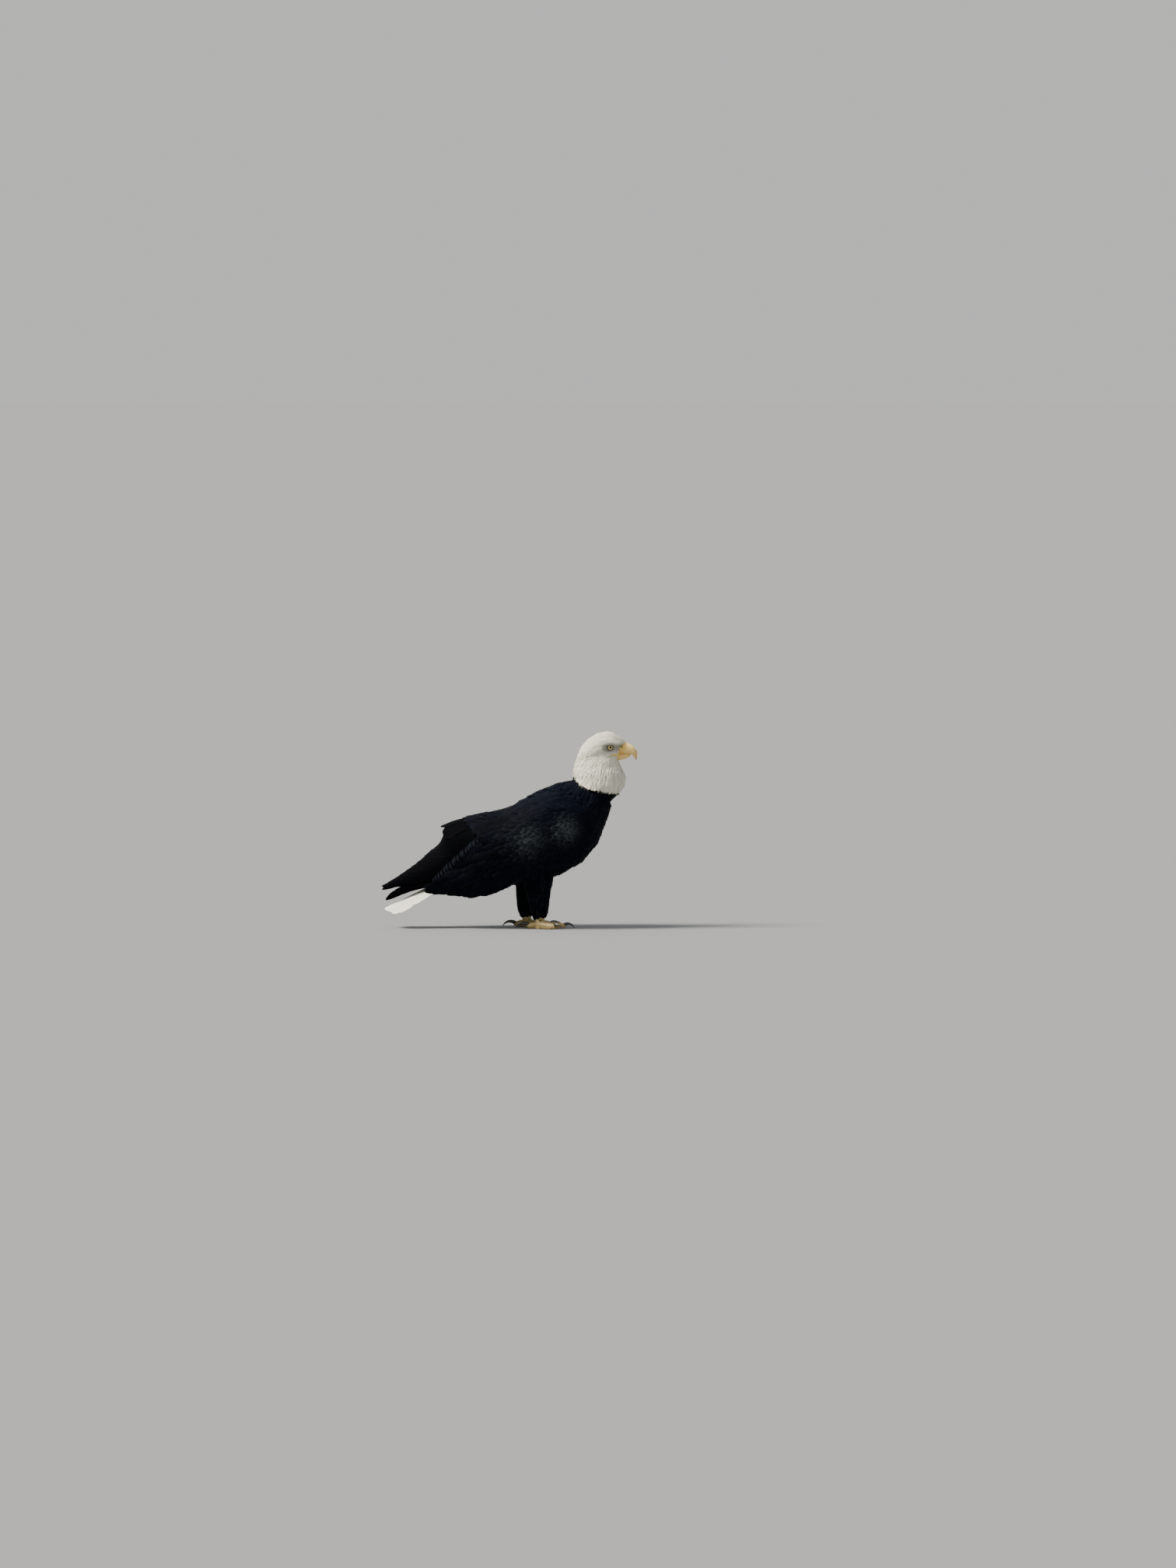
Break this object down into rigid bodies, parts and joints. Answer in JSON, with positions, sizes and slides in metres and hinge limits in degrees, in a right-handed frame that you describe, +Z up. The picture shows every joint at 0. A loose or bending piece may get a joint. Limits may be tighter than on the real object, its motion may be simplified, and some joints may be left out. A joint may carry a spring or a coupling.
{
  "type": "bald eagle",
  "caption": "Still, life-size adult bald eagle standing on level ground with folded wings, white head and tail, and its right foot forward.",
  "frame": {"origin": "on the ground, under the middle of the bounding box", "axes": "+X forward, the way the bill points; +Y to the bird's left; +Z up"},
  "size_m": [0.7078, 0.23, 0.5416],
  "materials": {
    "white_plumage": "soft white feathers",
    "dark_plumage": "blackish brown feathers with paler edges",
    "flight_feathers": "stiff blackish vanes with a low sheen",
    "bill_horn": "smooth yellow horn",
    "cere": "soft yellow skin",
    "foot_skin": "yellow scutes and fine scales",
    "claw": "polished black horn",
    "eye": "wet pale yellow iris with a black pupil"
  },
  "bodies": {
    "root": {"head": "white_plumage", "neck": "white_plumage", "trunk": "dark_plumage", "tail_coverts": "white_plumage", "tail": "white_plumage", "upper_bill": "bill_horn", "cere": "cere", "lower_bill": "bill_horn", "eye_right": "eye", "eye_left": "eye", "wing_coverts_right": "dark_plumage", "secondaries_right": "flight_feathers", "primaries_right": "flight_feathers", "thigh_right": "dark_plumage", "tarsus_right": "foot_skin", "toe_middle_right": "foot_skin", "claw_middle_right": "claw", "toe_inner_right": "foot_skin", "claw_inner_right": "claw", "toe_outer_right": "foot_skin", "claw_outer_right": "claw", "toe_hind_right": "foot_skin", "claw_hind_right": "claw", "wing_coverts_left": "dark_plumage", "secondaries_left": "flight_feathers", "primaries_left": "flight_feathers", "thigh_left": "dark_plumage", "tarsus_left": "foot_skin", "toe_middle_left": "foot_skin", "claw_middle_left": "claw", "toe_inner_left": "foot_skin", "claw_inner_left": "claw", "toe_outer_left": "foot_skin", "claw_outer_left": "claw", "toe_hind_left": "foot_skin", "claw_hind_left": "claw"}
  },
  "joints": []
}
